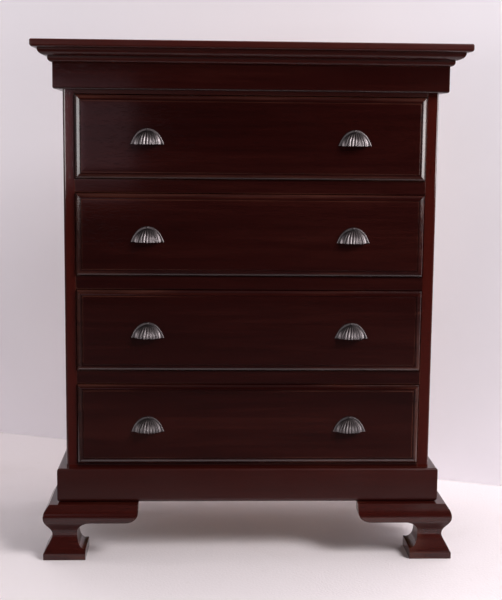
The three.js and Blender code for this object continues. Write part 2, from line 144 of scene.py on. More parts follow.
# %% Bench
class Bench:
    """The node tree of a material or of the world."""

    def __init__(self, tree):
        self.tree = tree
        tree.nodes.clear()

    def node(self, kind, settings=None, sockets=None, output=0):
        made = self.tree.nodes.new(kind)
        for name, value in (settings or {}).items():
            if name == "stops":
                self.set_stops(made.color_ramp, value)
            else:
                setattr(made, name, value)
        for name, value in (sockets or {}).items():
            if isinstance(value, Signal):
                self.tree.links.new(value.socket, made.inputs[name])
            else:
                made.inputs[name].default_value = value
        return Signal(self, made.outputs[output]) if len(made.outputs) else None

    @staticmethod
    def set_stops(ramp, stops):
        while len(ramp.elements) < len(stops):
            ramp.elements.new(0.5)
        for element, (position, color) in zip(ramp.elements, stops):
            element.position = position
            element.color = color

    def blend(self, mask, first, second):
        """The first colour where the mask is 0 and the second where it is 1."""
        sockets = {0: mask, 6: first, 7: second}
        return self.node("ShaderNodeMix", {"data_type": "RGBA"}, sockets, 2)

    def between(self, signal, low, high):
        """0 up to the low value, 1 from the high value on, and a smooth climb between."""
        settings = {"interpolation_type": "SMOOTHSTEP"}
        return self.node("ShaderNodeMapRange", settings, {0: signal, 1: low, 2: high})

    def place(self):
        """The object's own coordinates, in metres."""
        return self.node("ShaderNodeTexCoord", output="Object")

    def noise(self, scale, detail=2.0, roughness=0.5):
        """Noise on the object's own metres, with a scale for each axis."""
        vector = self.node("ShaderNodeMapping", {}, {"Vector": self.place(), "Scale": scale})
        sockets = {"Vector": vector, "Scale": 1.0, "Detail": detail, "Roughness": roughness}
        return self.node("ShaderNodeTexNoise", {}, sockets)

    def bend(self):
        """The bend measured on each mesh: 1 on a sharp arris and -1 in a sharp corner."""
        return self.node("ShaderNodeAttribute", {"attribute_name": "bend"}, {}, "Fac")

    def upward(self):
        """How far the surface faces up: 1 on a level top and -1 on an underside."""
        facing = self.node("ShaderNodeNewGeometry", output="Normal")
        return self.node("ShaderNodeSeparateXYZ", {}, {"Vector": facing}, "Z")

    def bump(self, height, distance):
        return self.node("ShaderNodeBump", {}, {"Height": height, "Distance": distance})

    def ramp(self, signal, stops):
        return self.node("ShaderNodeValToRGB", {"stops": stops}, {"Fac": signal})

    def finish(self, sockets):
        """Closes a material with one plain surface."""
        self.output(self.node("ShaderNodeBsdfPrincipled", {}, sockets))

    def output(self, shader):
        self.node("ShaderNodeOutputMaterial", {}, {"Surface": shader})

print("bench ready")

# %% [markdown]
# A finish starts from an empty tree, a colour is written as three numbers, and an object of the
# scene is a mesh with one material. These steps come again and again, so each has a name.

# %% Small helpers
def new_finish(name):
    material = bpy.data.materials.new(name)
    material.use_nodes = True
    return material, Bench(material.node_tree)


def opaque(red, green, blue):
    return (red, green, blue, 1.0)


def even(scale):
    """The same noise scale on every axis."""
    return (scale, scale, scale)


def put_in_scene(bm, name, material):
    """Turns a bmesh into an object with one material."""
    mesh = bpy.data.meshes.new(name)
    bm.to_mesh(mesh)
    bm.free()
    mesh.materials.append(material)
    thing = bpy.data.objects.new(name, mesh)
    bpy.context.scene.collection.objects.link(thing)
    return thing

print("helpers ready")

# %% [markdown]
# ## The studio
# Gloss shows what stands round an object, so the studio is arranged for its reflections. A pale
# sheet lies under the chest and ends just in front of it and at its sides, where the floor turns
# dark, so that the flat drawers don't mirror a bright floor.

# %% Floor
floor_radius = 40.0
floor_sides = 96
floor_sink = 0.0004
pale_floor = opaque(0.76, 0.705, 0.725)
far_floor = opaque(0.60, 0.555, 0.570)
front_floor = opaque(0.022, 0.020, 0.021)
floor_stain = opaque(0.66, 0.60, 0.60)
stain_share = 0.35
speck_share = 0.25
grit_depth = 0.0006
sheet_edge_start = Vector((-0.680, 0.954))
sheet_edge_end = Vector((0.655, 0.405))
sheet_edge_softness = 0.02
front_fade_start = -0.50
front_fade_end = -0.68
side_fade_start = 1.20
side_fade_end = 1.90

material, bench = new_finish("studio_floor")
across = bench.node("ShaderNodeSeparateXYZ", {}, {"Vector": bench.place()})
edge_direction = (sheet_edge_end - sheet_edge_start).normalized()
edge_offset = sheet_edge_start.x * edge_direction.y - sheet_edge_start.y * edge_direction.x
beyond = across.part("Y") * edge_direction.x - across * edge_direction.y + edge_offset
sheet_mask = bench.between(beyond, -sheet_edge_softness, sheet_edge_softness)
front_mask = bench.between(across.part("Y") * -1, -front_fade_start, -front_fade_end)
side_mask = bench.between(across.size(), side_fade_start, side_fade_end)
stains = bench.between(bench.noise(even(3.1), 6.0, 0.6), 0.5, 0.78)
specks = bench.between(bench.noise(even(38), 3.0), 0.66, 0.74)
grit = bench.noise(even(160), 3.0)
floor_color = bench.blend(stains * stain_share + specks * speck_share, pale_floor, floor_stain)
floor_color = bench.blend(sheet_mask, floor_color, far_floor)
floor_color = bench.blend(front_mask.at_least(side_mask), floor_color, front_floor)
bench.finish({
    "Base Color": floor_color,
    "Roughness": 0.55 + 0.2 * stains,
    "Normal": bench.bump(grit, grit_depth),
    "Specular IOR Level": 0.2,
})

bm = bmesh.new()
bmesh.ops.create_circle(bm, cap_ends=True, segments=floor_sides, radius=floor_radius)
bmesh.ops.translate(bm, verts=bm.verts, vec=(0, 0, -floor_sink))
floor = put_in_scene(bm, "floor", material)
print("floor radius:", floor_radius)

# %% [markdown]
# Behind the chest stands a pale wall, slightly askew, that rises where the sheet ends. Seen from
# its back it is clear, and the rear lamps shine through it, so that the chest can be looked at
# from behind too.

# %% Backdrop
wall_height = 3.2
wall_half_width = 3.0
wall_color = opaque(0.87, 0.83, 0.88)
wall_shade = opaque(0.82, 0.78, 0.83)
sheet_middle = (sheet_edge_start + sheet_edge_end) / 2
wall_turn = Matrix.Rotation(math.atan2(edge_direction.y, edge_direction.x), 3, "Z")

material, bench = new_finish("studio_wall")
cloudy = bench.between(bench.noise(even(0.9), 3.0), 0.35, 0.7)
paint = bench.node("ShaderNodeBsdfPrincipled", {}, {
    "Base Color": bench.blend(cloudy, wall_shade, wall_color),
    "Roughness": 0.8,
    "Specular IOR Level": 0.1,
})
clear = bench.node("ShaderNodeBsdfTransparent")
behind = bench.node("ShaderNodeNewGeometry", output="Backfacing")
behind = behind.at_least(bench.node("ShaderNodeLightPath", output="Is Shadow Ray"))
bench.output(bench.node("ShaderNodeMixShader", {}, {0: behind, 1: paint, 2: clear}))

bm = bmesh.new()
bmesh.ops.create_grid(bm, x_segments=1, y_segments=1, size=1)
bmesh.ops.scale(bm, verts=bm.verts, vec=(wall_half_width, wall_height / 2, 1))
bmesh.ops.rotate(bm, verts=bm.verts, matrix=Matrix.Rotation(math.pi / 2, 3, "X"))
bmesh.ops.rotate(bm, verts=bm.verts, matrix=wall_turn)
bmesh.ops.translate(bm, verts=bm.verts, vec=(sheet_middle.x, sheet_middle.y, wall_height / 2))
backdrop = put_in_scene(bm, "backdrop", material)
print("backdrop faces:", len(backdrop.data.polygons))

# %% [markdown]
# The lights are soft boxes: rectangles that glow evenly. Their strength is given as radiance,
# how bright the rectangle looks, because that is what a glossy edge shows. Two long windows, out
# of the flat mirrors' sight, draw the bright lines down the sides of the top drawer; their sills
# are too high for the drawers below to see them. Two dim, reddish curtains far behind the camera
# are what the left end of the top drawer mirrors as a faint haze.

# %% Lamps
daylight = (1.0, 0.97, 0.97)
haze = (1.0, 0.62, 0.72)


def softbox(name, place, aim, size, radiance, tint=daylight, mirrored=True):
    """A lamp that looks evenly bright. One that only washes a wall isn't mirrored in the gloss."""
    lamp = bpy.data.lights.new(name, "AREA")
    lamp.shape = "RECTANGLE"
    lamp.size, lamp.size_y = size
    lamp.energy = radiance * math.pi * lamp.size * lamp.size_y
    lamp.color = tint
    holder = bpy.data.objects.new(name, lamp)
    holder.location = place
    direction = Vector(aim) - Vector(place)
    holder.rotation_euler = direction.to_track_quat("-Z", "Y").to_euler()
    holder.visible_camera = False
    holder.visible_glossy = mirrored
    bpy.context.scene.collection.objects.link(holder)


softbox("window_left", (-2.61, -3.62, 0.99), (0.11, -0.67, 0.99), (3.0, 0.58), 4.7)
softbox("window_right", (3.93, -2.87, 0.99), (0.71, 0.13, 0.99), (3.9, 0.58), 7.5)
softbox("curtain_left", (-1.30, -5.00, 1.02), (-0.4, -0.2, 1.0), (0.60, 0.60), 0.44, haze)
softbox("curtain_middle", (-1.05, -5.05, 1.02), (-0.3, -0.2, 1.0), (1.00, 0.66), 0.24, haze)
softbox("key_right", (2.60, -2.20, 2.90), (0, 0, 0.3), (1.6, 1.6), 21.0)
softbox("overhead", (0.1, 0.6, 3.2), (0, 0.4, 0), (2.4, 1.6), 2.0)
softbox("wall_wash", (-0.60, 0.16, 3.1), (-0.43, 0.58, 0.9), (2.6, 0.5), 2.5, mirrored=False)
softbox("wall_wash_left", (-2.5, 0.1, 1.3), (-1.1, 1.2, 0.7), (0.5, 1.4), 5.8, mirrored=False)
softbox("rear_left", (-1.95, 2.05, 1.6), (0, 0.2, 0.6), (0.7, 1.2), 3.0)
softbox("rear_right", (2.1, 1.7, 1.6), (0, 0.2, 0.6), (0.7, 1.2), 3.0)

# %% [markdown]
# The room is pale except for a dark band that runs from behind the camera up overhead, where it
# turns a little lighter. The flat drawers mirror that band and stay deep. How far a direction
# lies sideways is measured against the rest of it, so the band keeps its width as it climbs.

# %% Room
room_color = opaque(0.92, 0.87, 0.90)
band_color = opaque(0.020, 0.017, 0.018)
ceiling_color = opaque(0.22, 0.20, 0.205)
room_strength = 0.32
band_half_width = 0.300
band_blur = 0.05
haze_low = -0.16
haze_high = 0.02
ceiling_low = 0.30
ceiling_high = 0.85
behind_low = 0.10
behind_high = 0.35
smallest_length = 0.001

world = bpy.data.worlds.new("studio")
bpy.context.scene.world = world
world.use_nodes = True
bench = Bench(world.node_tree)
direction = bench.node("ShaderNodeTexCoord", output="Generated")
heading = bench.node("ShaderNodeSeparateXYZ", {}, {"Vector": direction})
depthwise, upwards = heading.part("Y"), heading.part("Z")
in_plane = (depthwise * depthwise + upwards * upwards).root()
sideways = heading / in_plane.at_least(smallest_length)
band_inside, band_outside = band_half_width - band_blur, band_half_width + band_blur
past_left = bench.between(sideways * -1, band_inside, band_outside)
past_left = past_left * bench.between(upwards, haze_low, haze_high)
past_right = bench.between(sideways, band_inside, band_outside)
behind = bench.between(depthwise, behind_low, behind_high)
outside = past_left.at_least(past_right).at_least(behind)
band = bench.blend(bench.between(upwards, ceiling_low, ceiling_high), band_color, ceiling_color)
sky = bench.blend(outside, band, room_color)
background = bench.node("ShaderNodeBackground", {}, {"Color": sky, "Strength": room_strength})
bench.node("ShaderNodeOutputWorld", {}, {"Surface": background})
print("room strength:", room_strength)

# %% [markdown]
# ## Lacquered mahogany
# Dark mahogany is a stain over straight ribbon grain: long streaks, short open pores, then a clear
# gloss. Everything is stretched noise on the object's own metres, so one recipe serves three
# grain directions. The "bend" attribute, measured on each mesh, is 1 on rubbed arrises and -1 in
# sharp corners, which are coloured darker.

# %% Mahogany
ribbon_scale = (1.3, 13)
streak_scale = (3.5, 85)
fibre_scale = (16, 420)
pore_scale = (60, 900)
stain_stops = [
    (0.36, opaque(0.0118, 0.0017, 0.0014)),
    (0.50, opaque(0.0178, 0.0026, 0.0021)),
    (0.64, opaque(0.0275, 0.0048, 0.0036)),
]
warm_stain = opaque(0.064, 0.0070, 0.0041)
pore_color = opaque(0.0050, 0.0010, 0.0009)
rubbed_color = opaque(0.085, 0.026, 0.016)
corner_dark_color = opaque(0.008, 0.0025, 0.0022)
polished = 0.07
lacquer_depth = 0.00008
thick_lacquer = 1.7
thin_lacquer = 1.46


def along(axis, lengthwise, crosswise):
    """Noise scales that stretch a pattern along one axis."""
    return tuple(lengthwise if letter == axis else crosswise for letter in "xyz")


def mahogany(name, axis, warmth=0.0, satin=0.0, ior=thick_lacquer):
    """Warmth reddens the stain, as on solid wood beside veneer, and on the top rail it lightens a
    part in shade as painted light. Satin dulls all but level tops, and undersides are dull in any
    case."""
    material, bench = new_finish("mahogany_" + name)
    ribbon = bench.noise(along(axis, *ribbon_scale), 3.0)
    streaks = bench.noise(along(axis, *streak_scale), 6.0, 0.6)
    fibres = bench.noise(along(axis, *fibre_scale), 3.0)
    pores = 1 - bench.between(bench.noise(along(axis, *pore_scale)), 0.30, 0.42)
    clouds = bench.noise(even(2.2))
    smears = bench.between(bench.noise(even(7), 4.0, 0.6), 0.45, 0.75)
    peel = bench.noise(even(140))

    bend = bench.bend()
    rubbed = bench.between(bend, 0.45, 1.0) * bench.between(streaks + clouds, 0.85, 1.2)
    # Sharp corners are coloured darker and made a little rougher.
    darker_in_corners = bench.between(bend * -1, 0.2, 1.0)
    color = bench.ramp(0.5 * ribbon + 0.35 * streaks + 0.15 * fibres, stain_stops)
    color = bench.blend(warmth, color, warm_stain)
    color = bench.blend(0.6 * pores, color, pore_color)
    color = bench.blend(0.45 * rubbed, color, rubbed_color)
    color = bench.blend(0.6 * darker_in_corners, color, corner_dark_color)

    upward = bench.upward()
    level = bench.between(upward, 0.90, 0.99)
    underside = bench.between(upward * -1, 0.10, 0.50)
    dull = (satin * (1 - level)).at_least(0.8 * underside)
    wear = 0.04 * smears + 0.02 * fibres + 0.04 * rubbed + 0.08 * darker_in_corners
    relief = -0.20 * pores + 0.08 * fibres + 0.2 * peel
    bench.finish({
        "Base Color": color,
        "Roughness": polished + 0.25 * dull + wear,
        "Normal": bench.bump(relief, lacquer_depth),
        "IOR": ior,
    })
    return material


mahogany_for = {axis: mahogany(axis, axis) for axis in "xyz"}
mahogany_stile = mahogany("stile", "z", warmth=0.56)
# Painted light: the top rail in the frieze's shade is stained lighter and warmer to look lit.
mahogany_lightened_rail = mahogany("sheltered", "x", warmth=0.80, satin=0.8, ior=thin_lacquer)
cornice_for, plinth_for, foot_for = (
    {axis: mahogany(f"{part}_{axis}", axis, warmth, satin, thin_lacquer) for axis in "xy"}
    for part, warmth, satin in (("cornice", 0.56, 0.8), ("plinth", 0.24, 0.8), ("foot", 0.22, 0.3))
)
print("finishes:", [material.name for material in mahogany_for.values()], mahogany_stile.name)

# %% [markdown]
# ## Plain wood inside
# Drawer boxes, runners and the back are a pale wood left bare: broad growth rings, fine fibres
# and a dull surface that has yellowed unevenly with age.

# %% Secondary wood
warp_scale = (0.8, 4)
ring_scale = (0.9, 26)
bare_fibre_scale = (9, 380)
bare_stops = [
    (0.38, opaque(0.235, 0.115, 0.050)),
    (0.50, opaque(0.375, 0.215, 0.105)),
    (0.62, opaque(0.490, 0.310, 0.170)),
]
aged_color = opaque(0.15, 0.075, 0.035)
handled_color = opaque(0.21, 0.11, 0.055)
bare_corner_color = opaque(0.10, 0.06, 0.035)
bare_depth = 0.0003


def plain_wood(name, axis, age=0.0):
    """Age from 0 to 1 darkens the wood, as on end grain."""
    material, bench = new_finish("plain_wood_" + name)
    warp = bench.noise(along(axis, *warp_scale))
    rings = bench.noise(along(axis, *ring_scale), 4.0, 0.55)
    fibres = bench.noise(along(axis, *bare_fibre_scale), 4.0, 0.6)
    bend = bench.bend()
    handled = bench.between(bend, 0.45, 1.0)
    # Sharp corners are coloured darker.
    bare_darker_in_corners = bench.between(bend * -1, 0.2, 1.0)
    color = bench.ramp(0.55 * rings + 0.25 * fibres + 0.2 * warp, bare_stops)
    color = bench.blend(age, color, aged_color)
    color = bench.blend(0.3 * handled, color, handled_color)
    color = bench.blend(0.5 * bare_darker_in_corners, color, bare_corner_color)
    bench.finish({
        "Base Color": color,
        "Roughness": 0.62 + 0.18 * fibres,
        "Normal": bench.bump(fibres + 0.3 * rings, bare_depth),
        "Specular IOR Level": 0.35,
    })
    return material


plain_wood_for = {axis: plain_wood(axis, axis) for axis in "xyz"}
end_grain = plain_wood("end", "x", age=0.55)
print("finishes:", [material.name for material in plain_wood_for.values()], end_grain.name)

# %% [markdown]
# ## Metal
# The pulls are cast in a grey metal. Their hollows keep a dark patina, the slopes that face
# upwards are coloured darker too, and the ribs are rubbed bright, so colour and roughness follow
# the bend attribute and the slope. Nails and nuts are plain steel.

# %% Pewter and steel
cast_depth = 0.00008


def metal(name, bright, dark, polish, patina):
    """Patina is how far the hollows and the upward slopes go from the bright colour to the dark
    one.
    """
    material, bench = new_finish(name)
    cast = bench.noise(even(420), 3.0)
    tarnish = bench.between(bench.noise(even(70), 4.0, 0.6), 0.35, 0.7)
    # Slopes that face up are coloured darker, as well as the hollows.
    darker_facing_up = bench.between(bench.upward(), 0.05, 0.42)
    sunk = bench.between(bench.bend() * -1 + 0.25 * tarnish, -0.25, 0.55)
    hollow_and_facing_up = sunk.at_least(darker_facing_up) * patina
    bench.finish({
        "Base Color": bench.blend(hollow_and_facing_up, bright, dark),
        "Metallic": 1.0,
        "Roughness": polish + 0.10 * tarnish + 0.22 * hollow_and_facing_up,
        "Normal": bench.bump(cast, cast_depth),
    })
    return material


pewter = metal("pewter", opaque(0.29, 0.256, 0.264), opaque(0.032, 0.026, 0.026), 0.30, 0.95)
steel = metal("steel", opaque(0.50, 0.49, 0.47), opaque(0.16, 0.14, 0.12), 0.34, 0.6)
print("finishes:", pewter.name, steel.name)

# %% [markdown]
# ## From a solid to a finished board
# A solid arrives as loose triangles with knife edges. A copy is welded, its flat triangles are
# joined into whole faces, and its arrises are eased with a small bevel, which is what catches
# the light on real furniture. Mitres are left tight, as a joiner leaves them.

# %% Weld and ease
weld_distance = 0.00002
flat_angle = math.radians(0.6)
sharp_angle = math.radians(38)
mitre_tolerance = 0.05
parallel = 0.99


def merged_copy(node):
    bm = bmesh.new()
    bm.from_mesh(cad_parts[node].data)
    bmesh.ops.remove_doubles(bm, verts=bm.verts, dist=weld_distance)
    bmesh.ops.dissolve_limit(bm, angle_limit=flat_angle, verts=bm.verts, edges=bm.edges)
    bm.normal_update()
    return bm


def box_of(bm, low, high):
    """A box between two corners, as new vertices of the mesh."""
    made = bmesh.ops.create_cube(bm, size=1)["verts"]
    bmesh.ops.scale(bm, verts=made, vec=high - low)
    bmesh.ops.translate(bm, verts=made, vec=(low + high) / 2)
    return made


def round_off(bm, edges, width, segments=2, clamp=False):
    bmesh.ops.bevel(
        bm, geom=edges, offset=width, offset_type="OFFSET", segments=segments, profile=0.5,
        affect="EDGES", clamp_overlap=clamp, material=-1,
    )


def is_mitre(face):
    """True for a cut that stands upright and at 45 degrees to the sides."""
    normal = face.normal
    askew = abs(abs(normal.x) - abs(normal.y))
    return abs(normal.z) < mitre_tolerance and askew < mitre_tolerance


def ease_edges(bm, width, axis=None):
    """Rounds the sharp outward edges, or only those along one axis. Mitres stay tight."""
    picked = []
    for edge in bm.edges:
        if len(edge.link_faces) != 2 or edge.calc_face_angle_signed(0) < sharp_angle:
            continue
        if any(is_mitre(face) for face in edge.link_faces):
            continue
        run = (edge.verts[1].co - edge.verts[0].co).normalized()
        if axis is None or abs(run["xyz".index(axis)]) >= parallel:
            picked.append(edge)
    round_off(bm, picked, width, clamp=True)

print("edges count as sharp from", round(math.degrees(sharp_angle)), "degrees")

# %% [markdown]
# The "bend" attribute is measured at each vertex and fades from one vertex to the next. On a long
# flat board that would spread the wear of an arris over the whole face, so score lines a few
# millimetres inside the edges hold it close to them.

# %% Score lines
score_depth = 0.004


def score(bm, point, normal):
    """Cuts a line round the mesh where a plane passes, and takes nothing away."""
    everything = list(bm.verts) + list(bm.edges) + list(bm.faces)
    bmesh.ops.bisect_plane(
        bm, geom=everything, dist=weld_distance, plane_co=point, plane_no=normal,
    )


def score_inside_box(bm, depth=score_depth):
    """Six score lines, each a little inside one side of the mesh's box."""
    corners = [vert.co.copy() for vert in bm.verts]
    for axis in range(3):
        normal = Vector((0, 0, 0))
        normal[axis] = 1
        low = min(corner[axis] for corner in corners)
        high = max(corner[axis] for corner in corners)
        if high - low > 3 * depth:
            score(bm, normal * (low + depth), normal)
            score(bm, normal * (high - depth), normal)

print("score lines", score_depth * 1000, "mm inside the edges")

# %% [markdown]
# To finish a piece its bend is measured, its faces are shaded smooth up to the sharp edges, it is
# hung on the body it rides on and the solid it stands for is hidden. Where two runs of a moulding
# meet on the front, the edge between them stays sharp, so that each run keeps its own light.

# %% Finished pieces
full_bend_angle = math.radians(24)


def measure_bend(bm):
    """Writes the bend of each vertex: 1 on a sharp arris, -1 in a sharp corner, 0 on the flat."""
    layer = bm.verts.layers.float.new("bend")
    for vert in bm.verts:
        joined = [edge for edge in vert.link_edges if len(edge.link_faces) == 2]
        bends = [edge.calc_face_angle_signed(0) for edge in joined]
        out = max(bends, default=0)
        inward = min(bends, default=0)
        strongest = out if out > -inward else inward
        vert[layer] = max(-1.0, min(1.0, strongest / full_bend_angle))


def is_diagonal(edge):
    """True for the edges where two runs of a moulding meet in a mitre on the front."""
    run = (edge.verts[1].co - edge.verts[0].co).normalized()
    return min(abs(run.x), abs(run.z)) > mitre_tolerance


def finish_piece(bm, name, material, body, stands_for=(), mitred=False):
    """Turns a bmesh into a piece of the chest that rides on a body."""
    measure_bend(bm)
    for face in bm.faces:
        face.smooth = True
    for edge in bm.edges:
        edge.smooth = edge.calc_face_angle(0) < sharp_angle and not (mitred and is_diagonal(edge))
    piece = put_in_scene(bm, name, material)
    weighted = piece.modifiers.new("weighted_normals", "WEIGHTED_NORMAL")
    weighted.keep_sharp = True
    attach(piece, body)
    if stands_for:
        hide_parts(*stands_for)


def eased_board(node, material, body, width, axis=None):
    """A solid's board, welded, eased and scored, under the solid's name with an ending."""
    bm = merged_copy(node)
    ease_edges(bm, width, axis)
    score_inside_box(bm)
    finish_piece(bm, node + "_board", material, body, [node])

print("full bend at", round(math.degrees(full_bend_angle)), "degrees")

# %% [markdown]
# ## Top, frieze, cornice and plinth
# These are long mouldings mitred at the front corners, with the grain along each run. Their
# sections are already in the solids, so copies are eased; the lines that run beside each mitre
# keep the rubbed look to the corner itself.

# %% Mouldings
carcass = "carcass"
top_ease = 0.0012
top_score_depth = 0.009
moulding_ease = 0.0007
face_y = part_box("top_rail")[0].y
half_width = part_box("side_panel_right")[1].x
back_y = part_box("back_panel")[1].y

bm = merged_copy("top_board")
ease_edges(bm, top_ease)
score_inside_box(bm, top_score_depth)
finish_piece(bm, "top_board_dressed", cornice_for["x"], carcass, ["top_board"])

finish_of = {"cornice": cornice_for, "frieze": mahogany_for, "plinth": plinth_for}
for kind in finish_of:
    for side, axis in (("front", "x"), ("left", "y"), ("right", "y")):
        node = kind + "_" + side
        bm = merged_copy(node)
        ease_edges(bm, moulding_ease, axis)
        for sign in (-1, 1):
            corner = Vector((sign * half_width, face_y, 0))
            mitre_normal = Vector((1, sign, 0)).normalized()
            inside = Vector((-sign, 0, 0)) if side == "front" else Vector((0, 1, 0))
            score(bm, corner + inside * score_depth, mitre_normal)
        score_inside_box(bm)
        finish_piece(bm, node + "_dressed", finish_of[kind][axis], carcass, [node])
print("mouldings dressed")

# %% [markdown]
# ## Carcass
# Stiles run through from plinth to cornice and the rails butt against them, so only the edges
# along each board are eased and the joints stay tight. The outer arrises of the stiles are
# rounded, the left one more by wear, so that it catches the window.

# %% Carcass boards
stile_round = {"left": 0.0062, "right": 0.0040}
stile_steps = 8
board_ease = 0.0006
plain_ease = 0.0008

for side in ("left", "right"):
    low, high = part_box("stile_" + side)
    bm = bmesh.new()
    box_of(bm, low, high)
    corner = Vector((low.x if side == "left" else high.x, low.y))
    outer = [
        edge for edge in bm.edges
        if all((vert.co.xy - corner).length < weld_distance for vert in edge.verts)
    ]
    round_off(bm, outer, stile_round[side], stile_steps)
    ease_edges(bm, board_ease, "z")
    score_inside_box(bm)
    finish_piece(bm, f"stile_{side}_board", mahogany_stile, carcass, ["stile_" + side])
    eased_board("side_panel_" + side, mahogany_for["z"], carcass, board_ease, "z")
# The top rail's lighter stain is painted light.
eased_board("top_rail", mahogany_lightened_rail, carcass, board_ease, "x")
eased_board("bottom_rail", mahogany_for["x"], carcass, board_ease, "x")
for number in (1, 2, 3):
    eased_board(f"drawer_rail_{number}", mahogany_for["x"], carcass, board_ease, "x")
    for side in ("left", "right"):
        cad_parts[f"runner_{number}_{side}"].data.materials[0] = plain_wood_for["y"]
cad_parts["bottom_board"].data.materials[0] = plain_wood_for["x"]
eased_board("plinth_back", plain_wood_for["x"], carcass, plain_ease, "x")
print("carcass dressed")

# %% [markdown]
# The back is made of upright boards set edge to edge. Their long edges are eased, so the joints
# show as fine grooves, and each board is nailed top and bottom.

# %% Back boards
back_low, back_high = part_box("back_panel")
back_board_count = 6
back_joint = 0.0004
back_ease = 0.0012
nail_radius = 0.0030
nail_proud = 0.0005
nail_inset = 0.030
nail_rise = 0.014
head_sides = 14
head_rings = 8


def dome(bm, place, radius, height, axis):
    """A low round head that stands out along an axis."""
    made = bmesh.ops.create_uvsphere(
        bm, u_segments=head_sides, v_segments=head_rings, radius=radius,
    )["verts"]
    flat = [1.0, 1.0, 1.0]
    flat["xyz".index(axis)] = height / radius
    bmesh.ops.scale(bm, verts=made, vec=flat)
    bmesh.ops.translate(bm, verts=made, vec=place)


bm = bmesh.new()
nails = bmesh.new()
board_width = (back_high.x - back_low.x) / back_board_count
for index in range(back_board_count):
    left = back_low.x + index * board_width
    low = Vector((left + back_joint / 2, back_low.y, back_low.z))
    high = Vector((left + board_width - back_joint / 2, back_high.y, back_high.z))
    box_of(bm, low, high)
    for across in (low.x + nail_inset, high.x - nail_inset):
        for up in (low.z + nail_rise, high.z - nail_rise):
            dome(nails, (across, back_high.y, up), nail_radius, nail_proud, "y")
bm.normal_update()
ease_edges(bm, back_ease, "z")
for up in (back_low.z + score_depth, back_high.z - score_depth):
    score(bm, Vector((0, 0, up)), Vector((0, 0, 1)))
finish_piece(bm, "back_boards", plain_wood_for["z"], carcass, ["back_panel"])
finish_piece(nails, "back_nails", steel, carcass)
print("back boards:", back_board_count)

# %% [markdown]
# ## Feet
# Each front foot is a square ogee post with two wings, and each back foot has a side wing only
# and ends flush with the back. The corner arris of a front foot runs in the diagonal plane through
# the corner of the carcass, so the score lines beside it are parallel to that plane.

# %% Feet
foot_ease = 0.0009

for side, sign in (("left", -1), ("right", 1)):
    for row, corner_y, axis in (("front", face_y, "x"), ("back", back_y, "y")):
        node = f"foot_{row}_{side}"
        bm = merged_copy(node)
        ease_edges(bm, foot_ease)
        corner = Vector((sign * half_width, corner_y, 0))
        if row == "front":
            for offset in (-score_depth, score_depth):
                score(bm, corner + Vector((sign * offset, 0, 0)), Vector((1, sign, 0)))
        score_inside_box(bm)
        finish_piece(bm, node + "_dressed", foot_for[axis], carcass, [node])
print("feet dressed")

# %% [markdown]
# ## Drawers
# A drawer front is one board with a moulded edge round a raised field. Working inwards from
# the rim, each step of the moulding is an inset of the front face that also lifts or sinks it,
# and the corners mitre themselves. The field itself falls away by a hair towards its edge, as a
# board does that was planed and rubbed down by hand.

# %% Drawer fronts
front_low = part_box("drawer_1_front")[0]
edge_proud = 0.002
ovolo_width = 0.0124
ovolo_rise = 0.0068
ovolo_steps = 10
quirk_width = 0.0010
quirk_depth = 0.0009
fillet_width = 0.0018
field_rise = face_y - edge_proud - ovolo_rise - front_low.y
field_bevel = 0.0004
roll_width = 0.022
roll_drop = 0.00015
roll_steps = 6


def inset(bm, face, width, lift):
    """Steps inwards from the face's rim and lifts what is left of the face."""
    bmesh.ops.inset_region(bm, faces=[face], thickness=width, depth=lift, use_even_offset=True)


def drawer_front(number):
    node = f"drawer_{number}_front"
    low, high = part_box(node)
    bm = bmesh.new()
    box_of(bm, Vector((low.x, face_y - edge_proud, low.z)), high)
    bm.normal_update()
    face = next(face for face in bm.faces if face.normal.y < -parallel)

    # A quarter turn, sliced evenly by angle, gives the ovolo its widths and rises
    turns = [math.pi / 2 * step / ovolo_steps for step in range(ovolo_steps + 1)]
    for before, after in zip(turns, turns[1:]):
        width = ovolo_width * (math.cos(before) - math.cos(after))
        inset(bm, face, width, ovolo_rise * (math.sin(after) - math.sin(before)))

    # The quirk is a narrow groove between the ovolo and the fillet
    for lift in (-quirk_depth, 0, quirk_depth):
        inset(bm, face, quirk_width / 3, lift)
    inset(bm, face, fillet_width - quirk_width, 0)
    inset(bm, face, field_bevel, field_rise - roll_drop)
    shares = [step / roll_steps for step in range(roll_steps + 1)]
    for before, after in zip(shares, shares[1:]):
        rise = (1 - before) ** 2 - (1 - after) ** 2
        inset(bm, face, roll_width / roll_steps, roll_drop * rise)

    near_back = high.y - weld_distance
    back = [edge for edge in bm.edges if all(vert.co.y > near_back for vert in edge.verts)]
    round_off(bm, back, plain_ease)
    score(bm, Vector((0, high.y - score_depth, 0)), Vector((0, 1, 0)))
    finish = mahogany_for["x"]
    finish_piece(bm, node + "_dressed", finish, f"drawer_{number}", [node], mitred=True)


for number in (1, 2, 3, 4):
    drawer_front(number)
print("field rise:", round(field_rise * 1000, 2), "mm")

# %% [markdown]
# The drawer boxes are plain boards, dovetailed at the corners. The tails are thin wedges let
# flush into the ends of the front, and the pins of the back show as end grain in the sides. They
# show only when a drawer is open.

# %% Dovetails
tail_count = 5
tail_depth = 0.0115
tail_spread = 1.35
tail_proud = 0.00015
tail_thickness = 0.0010
tail_share = 0.52


